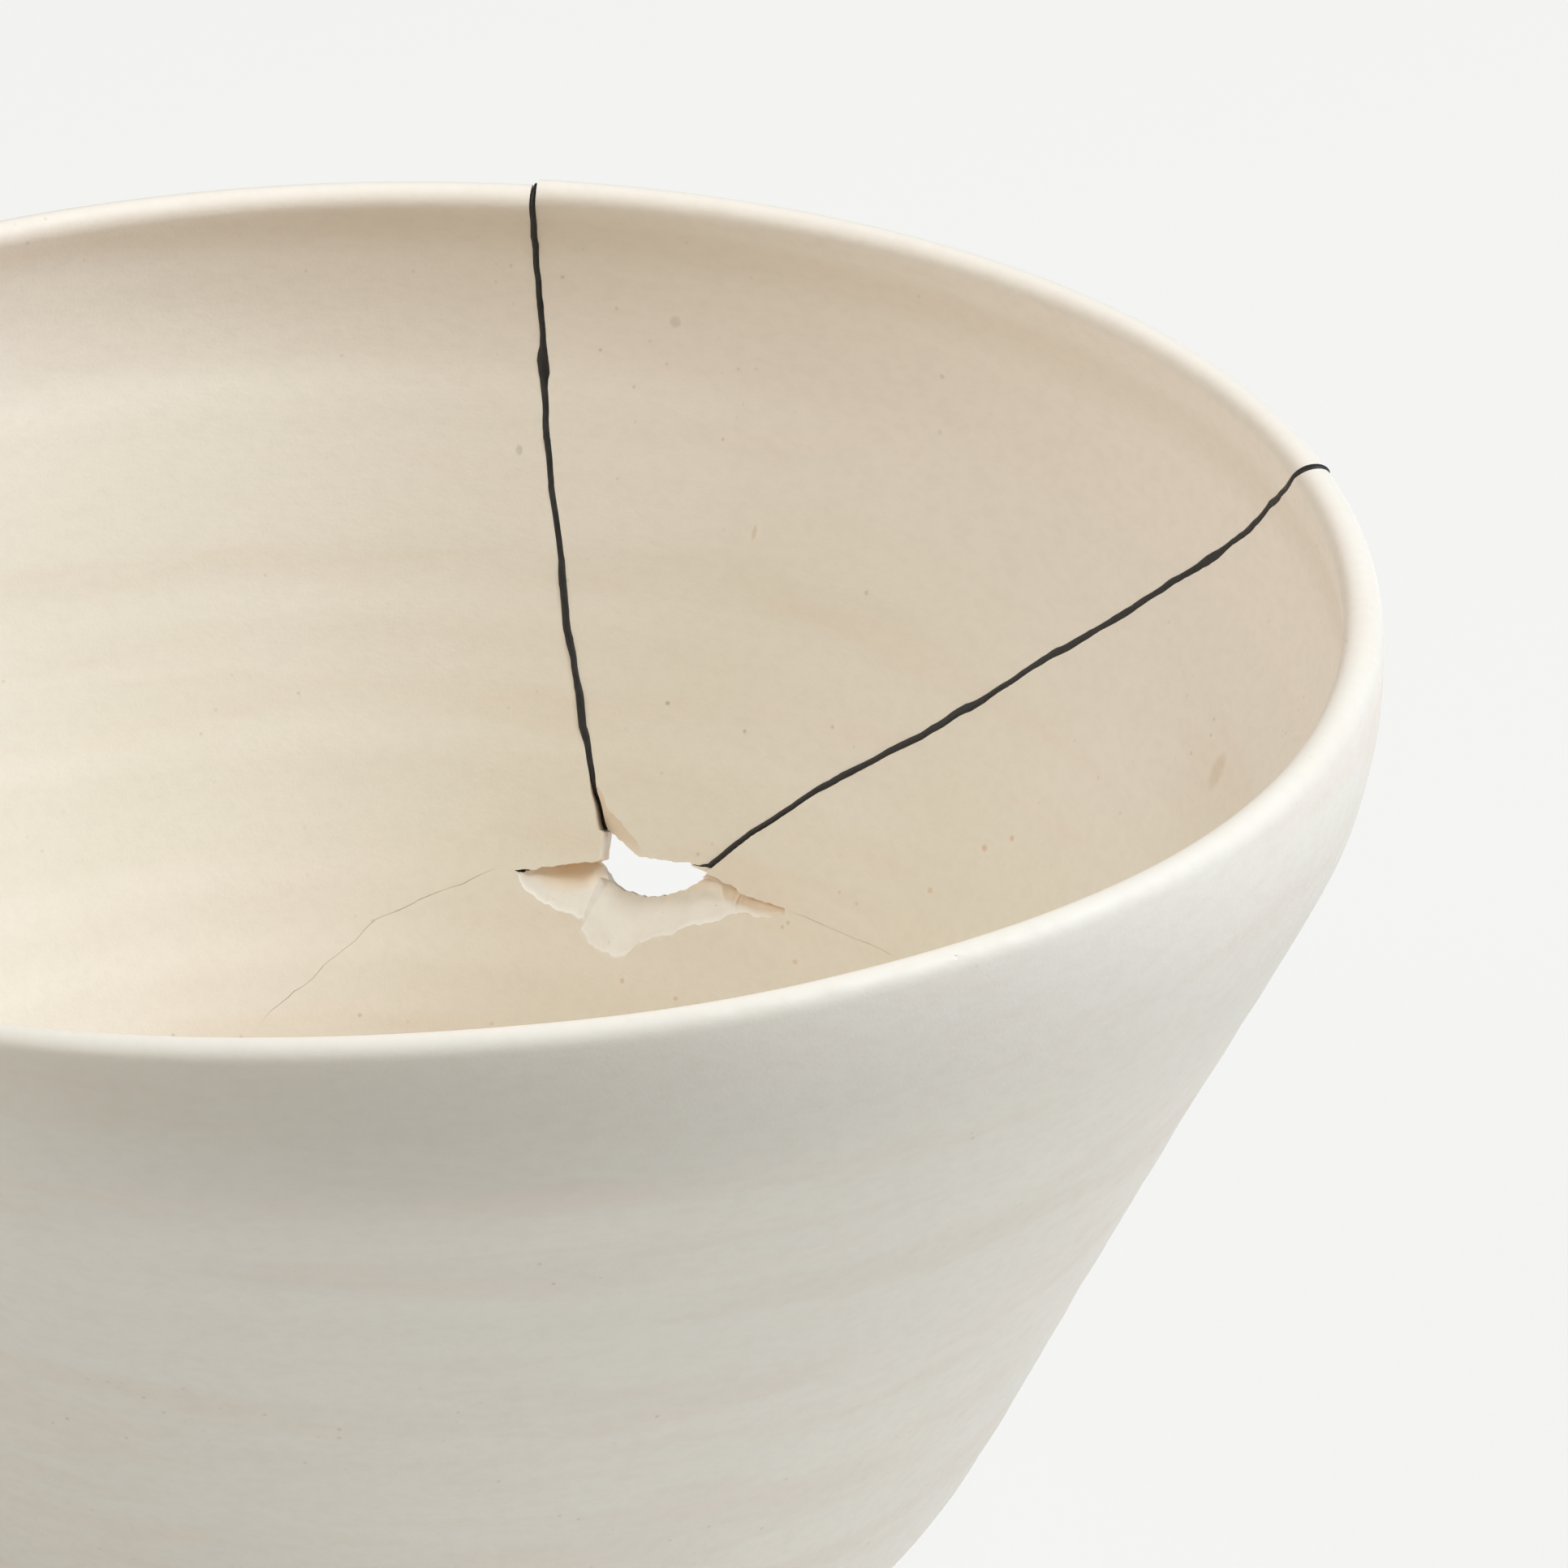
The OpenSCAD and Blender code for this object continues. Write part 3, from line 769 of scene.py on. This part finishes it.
def shard_wall():
    """A stretch of the wall and lip, larger than the wedge that is cut from it."""
    line = wall_rows([straight(on_line(78), on_line(77), 1),
                      bend(SHOULDER_C, SHOULDER_IN_R, CONE_SLOPE, -LIP_TUCK, 22), LIP_TURN,
                      bend(SHOULDER_C, SHOULDER_R, -LIP_TUCK, CONE_SLOPE, 22),
                      straight(on_line(77, WALL), on_line(78, WALL), 1)])
    points = thrown_points(line, np.arange(6, 88, SHARD_STEP), 1.0)
    rows, cols = points.shape[:2]
    n = np.arange(rows * cols).reshape(rows, cols)
    quads = np.stack([n[:-1, :-1], n[:-1, 1:], n[1:, 1:], n[1:, :-1]], -1).reshape(-1, 4).tolist()
    low = [[int(v) for v in (n[0, j], n[-1, j], n[-1, j + 1], n[0, j + 1])] for j in range(cols - 1)]
    ends = []
    for j in (0, cols - 1):
        half = rows // 2
        ends += [[int(n[i, j]), int(n[i + 1, j]), int(n[rows - 2 - i, j]), int(n[rows - 1 - i, j])]
                 for i in range(half - 1)]
        if rows % 2:
            ends.append([int(n[half - 1, j]), int(n[half, j]), int(n[half + 1, j])])
    return face_outward(new_mesh("shard_wall", points.reshape(-1, 3), quads + low + ends, CLAY, THROWN))


# ---------------------------------------------------------------- cutters
def seam(points, seed):
    """A seam's ragged course, from above the lip down to the hole."""
    line = even_line(points, 0.7)
    line += square_to(line) * wobble(len(line), seed, 0.23, 0.16)[:, None]
    return line


LEFT, RIGHT = seam(LEFT_SEAM, 3.1), seam(RIGHT_SEAM, 8.7)


def through_wall(name, grid):
    """A cutter through the whole wall, over a grid of (angle, depth) points."""
    a, d = grid[..., 0], grid[..., 1]
    return slab(name, on_wall(a, d, -REACH), on_wall(a, d, WALL + REACH), CLAY, BROKEN)


def wedge_cutter(grow):
    """The wedge's place between the seams, wider or narrower by a distance on each side."""
    rows, cols = 120, 60
    left = resampled(LEFT + square_to(LEFT) * -grow, rows)
    right = resampled(RIGHT + square_to(RIGHT) * grow, rows)
    t = np.linspace(0, 1, cols)[None, :, None]
    grid = right[:, None] * (1 - t) + left[:, None] * t
    tip = resampled([right[-1]] + SHARD_TIP[1:-1] + [left[-1]], cols)
    tip[1:-1, 1] += wobble(cols - 2, 5.5, 0.4, 0.12)
    return through_wall("wedge_cutter", np.concatenate([grid, tip[None]]))


def hole_cutter():
    """The hole where the cracks meet."""
    cols = 90
    top, low = resampled(HOLE_TOP, cols), resampled(HOLE_LOW, cols)
    low[2:-2, 1] += wobble(cols - 4, 2.2, 0.35, 0.16)
    return through_wall("hole_cutter", np.stack([top, low]))


def flake_cutter(name, deep_line, out_line, bites, cols, rows, seed, ridge=None):
    """A conchoidal flake off the inside: deep along one line, running out at the other."""
    deep, out_edge = resampled_by(deep_line, cols), resampled_by(out_line, cols)
    bite = np.interp(np.linspace(0, 1, cols), np.linspace(0, 1, len(bites)), bites)
    deep[1:-1, 1] += wobble(cols - 2, seed, 0.3, 0.14)
    out_edge[1:-1, 1] += wobble(cols - 2, seed + 4, 0.22, 0.35)
    v = np.linspace(0, 1, rows)
    grid = deep[:, None] * (1 - v[None, :, None]) + out_edge[:, None] * v[None, :, None]
    outs = bite[:, None] * (1 - v[None, :]) ** 1.5
    for i, j in np.ndindex(cols, rows):
        a, d = grid[i, j]
        rough = noise.fractal(Vector((a * 0.55, d * 0.7, seed)), 1.0, 2.0, 4)
        outs[i, j] += FLAKE_ROUGH * rough * math.sin(math.pi * min(1, v[j] * 1.6 + 0.15))
        outs[i, j] += FLAKE_RIPPLE * math.sin(d * 4.2 + a) * (1 - v[j])
        if ridge is not None:
            off = a - ridge - 0.12 * (80 - d) - 0.5 * math.sin(d * 1.1)
            outs[i, j] -= RIDGE_HEIGHT * math.exp(-(off / RIDGE_WIDTH) ** 2) * min(1, 2 * v[j])
    # A little deeper all along, but for the last of the edge, where the flake leaves the wall
    outs += 0.22 * (1 - (2 * v[None, :] - 1) ** 6) * v[None, :] - 0.1 * v[None, :] ** 8
    a, d = grid[..., 0], grid[..., 1]
    return slab(name, on_wall(a, d, -FLAKE_REACH), on_wall(a, d, outs), CLAY, BROKEN)


def groove_cutter(name, points, width, depth, index, seed):
    """A fine crack: a thin wedge along a line of the inside face."""
    line = even_line(points, 0.9)
    line += square_to(line) * wobble(len(line), seed, 0.35, 0.22)[:, None]
    side = square_to(line)
    t = np.linspace(0, 1, len(line))
    taper = np.clip(np.minimum(t, 1 - t) * 8, 0.25, 1)
    half = (width / 2 * taper * (1 + wobble(len(line), seed + 1, 0.4, 0.5)))[:, None]
    ring = []
    for shift, out in ((-2.2, -0.25), (2.2, -0.25), (0.0, depth * taper)):
        p = line + side * half * shift
        ring.append(on_wall(p[:, 0], p[:, 1], out - relief(p[:, 0], p[:, 1], True)))
    ring = np.stack(ring, 1)
    count = len(line)
    n = np.arange(count * 3).reshape(count, 3)
    faces = [[int(n[i, k]), int(n[i, (k + 1) % 3]), int(n[i + 1, (k + 1) % 3]), int(n[i + 1, k])]
             for i in range(count - 1) for k in range(3)]
    faces += [[0, 2, 1], [int(v) for v in n[-1]]]
    return face_outward(new_mesh(name, warp(ring.reshape(-1, 3)), faces, CLAY, index))


def nick_cutter(number, angle, length, depth):
    """A small chip off the outer edge of the lip."""
    bm = bmesh.new()
    bmesh.ops.create_icosphere(bm, subdivisions=2, radius=1.0)
    for v in bm.verts:
        v.co *= 1 + 0.25 * noise.noise(v.co * 1.7 + Vector((number * 3.1, 0, 0)))
    r = LIP_C[0] + (LIP_R + depth * 0.6) * math.cos(NICK_RISE)
    z = LIP_C[1] + (LIP_R + depth * 0.6) * math.sin(NICK_RISE)
    size = Matrix.Diagonal((depth * 1.6, length / 2, depth * 1.8, 1))
    move = Matrix.Rotation(math.radians(angle), 4, "Z") @ Matrix.Translation((r, 0, z))
    bm.transform(Matrix.Scale(MM, 4) @ move @ size)
    mesh = bpy.data.meshes.new("nick_cutter")
    bm.to_mesh(mesh)
    bm.free()
    return new_object("nick_cutter", mesh, CLAY, BROKEN)


# ---------------------------------------------------------------- pieces
def nicks(on_shard):
    """Cutters for the lip's nicks that lie on the shard, or for those that don't."""
    return [nick_cutter(i, *nick) for i, nick in enumerate(RIM_NICKS)
            if (RIGHT_SEAM[0][0] < nick[0] < LEFT_SEAM[0][0]) == on_shard]


def make_body():
    """The thrown bowl, less the wedge, the hole, the scars, the fine cracks and its nicks."""
    piece = body_wall()
    cutters = [wedge_cutter(SEAM_GAP / 2), hole_cutter(),
               flake_cutter("left_scar_cutter", *LEFT_SCAR, 70, 22, 1.7),
               flake_cutter("middle_scar_cutter", *MIDDLE_SCAR, 90, 24, 5.2, RIDGE_ANGLE),
               flake_cutter("right_scar_cutter", *RIGHT_SCAR, 60, 12, 8.3),
               groove_cutter("nick_line", DARK_NICK, 0.3, 0.6, DARK, 4.4),
               groove_cutter("long_hairline", LONG_HAIRLINE, 0.1, 0.09, TAN, 9.2),
               groove_cutter("pale_hairline", PALE_HAIRLINE, 0.09, 0.07, TAN, 7.7)]
    cut(piece, cutters + nicks(False))
    finish_mesh(piece)
    return piece


def make_shard():
    """The wedge, turned about its low end of the lip so that it stands up at the left seam."""
    piece = shard_wall()
    hinge = math.radians(RIGHT_SEAM[0][0])
    reach = WIDEST_R * math.sin(math.radians(LEFT_SEAM[0][0]) - hinge)
    top = Vector((0, 0, BOWL_H * MM))
    turn = Matrix.Rotation(math.asin(SHARD_LIFT / reach), 4, Vector((math.cos(hinge), math.sin(hinge), 0)))
    piece.data.transform(Matrix.Translation(top) @ turn @ Matrix.Translation(-top))
    cut(piece, [wedge_cutter(-SEAM_GAP / 2)], "INTERSECT")
    chip = flake_cutter("shard_chip_cutter", CHIP_DEEP, CHIP_OUT, CHIP_BITE, 40, 10, 2.9)
    cut(piece, [chip] + nicks(True))
    finish_mesh(piece)
    return piece


def filler_rows(line, widths, heights, seam=None, lip_width=0.0, back=((0, 0),)):
    """Loops round the filler's section, from the hole up and, for a whole seam, over the lip."""
    u = np.linspace(-1, 1, BEAD_SIDE)
    dome = np.clip(1 - u**2, 0, 1) ** 0.7
    side = square_to(line)
    loops = []
    for p, s, w, h in zip(line, side, widths, heights):
        across = p[None] + s[None] * (u * w / 2)[:, None]
        swell = dome * (h + BEAD_SUNK)
        lies_back = np.interp(p[1], *np.transpose(back))
        inner = on_wall(across[:, 0], across[:, 1], lies_back + BEAD_SUNK - swell)
        outer = on_wall(across[:, 0], across[:, 1], WALL - BEAD_SUNK + swell)
        loops.append(np.concatenate([inner, outer[::-1]]))
    if seam is not None:
        rise = LIP_R - BEAD_SUNK + dome * (heights[-1] + BEAD_SUNK)
        sign = np.sign(side[-1][0])
        for turn_by in np.linspace(0, math.pi / 2, 9)[1:]:
            wide = widths[-1] * (1 + (lip_width - 1) * math.sin(turn_by))
            sides = []
            for turn in (math.pi + LIP_TUCK - turn_by, LIP_TUCK + turn_by):
                angle = np.interp(BOWL_H - LIP_C[1] - LIP_R * math.sin(turn), seam[:, 1], seam[:, 0])
                spread = angle + sign * u * wide / 2 / LIP_C[0] * 180 / math.pi
                sides.append(turned(spread, LIP_C[0] + rise * math.cos(turn),
                                    LIP_C[1] + rise * math.sin(turn)))
            loops.append(np.concatenate([sides[0], sides[1][::-1]]))
    return loops


def filler_piece(name, runs):
    """One filler object from runs of loops."""
    points, faces = [], []
    for loops in runs:
        start, size = len(points), 2 * BEAD_SIDE
        for loop in loops:
            points += loop.tolist()
        for i in range(len(loops) - 1):
            for k in range(size):
                a, b = start + i * size + k, start + i * size + (k + 1) % size
                faces.append([a, b, b + size, a + size])
        for end in (start, start + (len(loops) - 1) * size):
            faces.append(list(range(end, end + size)))
    piece = new_mesh(name, warp(np.array(points)), faces, [FILLER])
    bm = bmesh.new()
    bm.from_mesh(piece.data)
    bmesh.ops.remove_doubles(bm, verts=bm.verts, dist=WELD)
    loose = [f for f in bm.faces if f.calc_area() < 1e-13]
    bmesh.ops.delete(bm, geom=loose, context="FACES_ONLY")
    bmesh.ops.recalc_face_normals(bm, faces=bm.faces)
    bm.to_mesh(piece.data)
    bm.free()
    shade(piece, FILLER_CREASE)
    return piece


def bead(line, seed, swells):
    """Widths and heights along a filler line, with its swellings."""
    count = len(line)
    width = BEAD_WIDTH + wobble(count, seed, 0.12, 0.3) + wobble(count, seed + 9, 0.9, 0.08)
    height = BEAD_HEIGHT + wobble(count, seed + 5, 0.3, 0.08)
    for depth, reach, more in swells:
        width += more * np.exp(-((line[:, 1] - depth) / reach) ** 2)
    return np.clip(width, 0.3, 1.5), np.clip(height, 0.08, 0.32)


def below_lip(line):
    """A seam's course below the lip's half round, from the hole up."""
    return line[line[:, 1] > LIP_R + 0.3][::-1]


def make_left_filler():
    """The left seam's filler. Next to the hole it is lost on the inside."""
    line = below_lip(LEFT)
    widths, heights = bead(line, 1.4, LEFT_SWELLS)
    rows = filler_rows(line, widths, heights, LEFT, LEFT_LIP_WIDTH, LEFT_FILLER_BACK)
    return filler_piece("left_seam_bead", [rows])


def make_right_filler():
    """The right seam's filler, with its thin hooked end beside the hole."""
    line = below_lip(RIGHT)
    widths, heights = bead(line, 6.8, RIGHT_SWELLS)
    rows = filler_rows(line, widths, heights, RIGHT, RIGHT_LIP_WIDTH)
    hook = even_line(HOOK, 0.3)
    thin = np.interp(np.arange(len(hook)), [0, len(hook) - 1], HOOK_WIDTHS)
    low = np.full(len(hook), HOOK_HEIGHT)
    return filler_piece("right_seam_bead", [rows, filler_rows(hook, thin, low)])


PIECES = [
    (make_body, ["bowl_body"], "porcelain"),
    (make_shard, ["rim_shard"], "porcelain"),
    (make_left_filler, ["left_seam_filler"], "seam_filler"),
    (make_right_filler, ["right_seam_filler"], "seam_filler"),
]
for make, nodes, slot in PIECES:
    made = make()
    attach(made, "root")
    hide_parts(*nodes)

# ---------------------------------------------------------------- floor, light and camera
# The camera, measured from the middle of the lip's top: back, up, turn to the right, tilt down
CAMERA_BACK = 0.900
CAMERA_UP = 0.4368
CAMERA_TURN = 0.0456
CAMERA_TILT = 0.4743
CAMERA_LENS = 222.3
SENSOR = 36.0
# The lamps, in metres, then each one's name, angle round the bowl, angle above the floor, power, colour
LAMP_SIZE = 0.8
LAMP_AWAY = 1.5
LAMP_AIM_Z = 0.1
LAMPS = [
    ("right_high", 0, 55, 24.6, (0.87, 0.94, 1.0)),
    ("right_low", 0, 8, 3.0, (0.93, 0.96, 1.0)),
    ("left", 180, 30, 8.1, (0.84, 0.9, 1.0)),
    ("front_left_high", 210, 55, 4.9, (1.0, 0.88, 0.56)),
]
# The light from all round, and the white that only the camera sees
ROOM_LIGHT = (1.0, 0.55, 0.3, 1.0)
ROOM_STRENGTH = 0.045
BACKDROP = srgb(245, 245, 243)
# The floor's half width, and how far it lies under the foot, so that no two faces coincide
FLOOR_HALF = 4.0
FLOOR_DROP = 0.0001


def add_camera():
    """The camera, upright, turned a little to the right and tilted down."""
    data = bpy.data.cameras.new("camera")
    data.sensor_width = SENSOR
    data.lens = CAMERA_LENS
    data.clip_start = 0.05
    data.clip_end = 50.0
    camera = bpy.data.objects.new("camera", data)
    camera.location = (0, -CAMERA_BACK, BOWL_H * MM + CAMERA_UP)
    ahead = Vector((math.sin(CAMERA_TURN) * math.cos(CAMERA_TILT),
                    math.cos(CAMERA_TURN) * math.cos(CAMERA_TILT), -math.sin(CAMERA_TILT)))
    camera.rotation_euler = ahead.to_track_quat("-Z", "Y").to_euler()
    bpy.context.scene.collection.objects.link(camera)
    bpy.context.scene.camera = camera


def add_floor():
    """A pale floor that shows white to the camera and keeps a soft shadow."""
    corners = [(x * FLOOR_HALF, y * FLOOR_HALF, -FLOOR_DROP)
               for x, y in ((-1, -1), (1, -1), (1, 1), (-1, 1))]
    floor = new_mesh("floor", np.array(corners) / MM, [[0, 1, 2, 3]], [])
    n = Nodes("floor_white")
    n.feed(Base_Color=srgb(246, 246, 244), Roughness=0.9)
    glow = n.add("ShaderNodeEmission", {"Color": srgb(244, 244, 242), "Strength": 1.0})
    ray = n.add("ShaderNodeLightPath")
    seen = n.math("MAXIMUM", ray.outputs["Is Camera Ray"],
                  n.math("MAXIMUM", ray.outputs["Is Glossy Ray"], ray.outputs["Is Transmission Ray"]))
    share = n.times(seen, 0.9)
    blend = n.add("ShaderNodeMixShader", {0: share, 1: n.shader.outputs[0], 2: glow.outputs[0]})
    n.tree.links.new(blend.outputs[0], n.tree.nodes["Material Output"].inputs["Surface"])
    floor.data.materials.append(n.material)


def add_lamp(name, angle, rise, power, colour):
    """A square soft light that faces the bowl from an angle round it and an angle above the floor."""
    data = bpy.data.lights.new(name, "AREA")
    data.size = LAMP_SIZE
    data.energy = power
    data.color = colour
    lamp = bpy.data.objects.new(name, data)
    a, b = math.radians(angle), math.radians(rise)
    aim = Vector((0, 0, LAMP_AIM_Z))
    towards = Vector((math.cos(a) * math.cos(b), math.sin(a) * math.cos(b), math.sin(b)))
    lamp.location = aim + LAMP_AWAY * towards
    lamp.rotation_euler = (aim - lamp.location).to_track_quat("-Z", "Y").to_euler()
    bpy.context.scene.collection.objects.link(lamp)


def add_world():
    """A dim warm room, which the camera sees as white."""
    world = bpy.data.worlds.new("studio")
    world.use_nodes = True
    tree = world.node_tree
    tree.nodes.clear()
    output = tree.nodes.new("ShaderNodeOutputWorld")
    blend = tree.nodes.new("ShaderNodeMixShader")
    ray = tree.nodes.new("ShaderNodeLightPath")
    room, white = tree.nodes.new("ShaderNodeBackground"), tree.nodes.new("ShaderNodeBackground")
    room.inputs[0].default_value = ROOM_LIGHT
    room.inputs[1].default_value = ROOM_STRENGTH
    white.inputs[0].default_value = BACKDROP
    white.inputs[1].default_value = 1.0
    tree.links.new(ray.outputs["Is Camera Ray"], blend.inputs[0])
    tree.links.new(room.outputs[0], blend.inputs[1])
    tree.links.new(white.outputs[0], blend.inputs[2])
    tree.links.new(blend.outputs[0], output.inputs[0])
    bpy.context.scene.world = world


add_camera()
add_floor()
add_world()
for lamp in LAMPS:
    add_lamp(*lamp)
bpy.context.scene.view_settings.view_transform = "Standard"
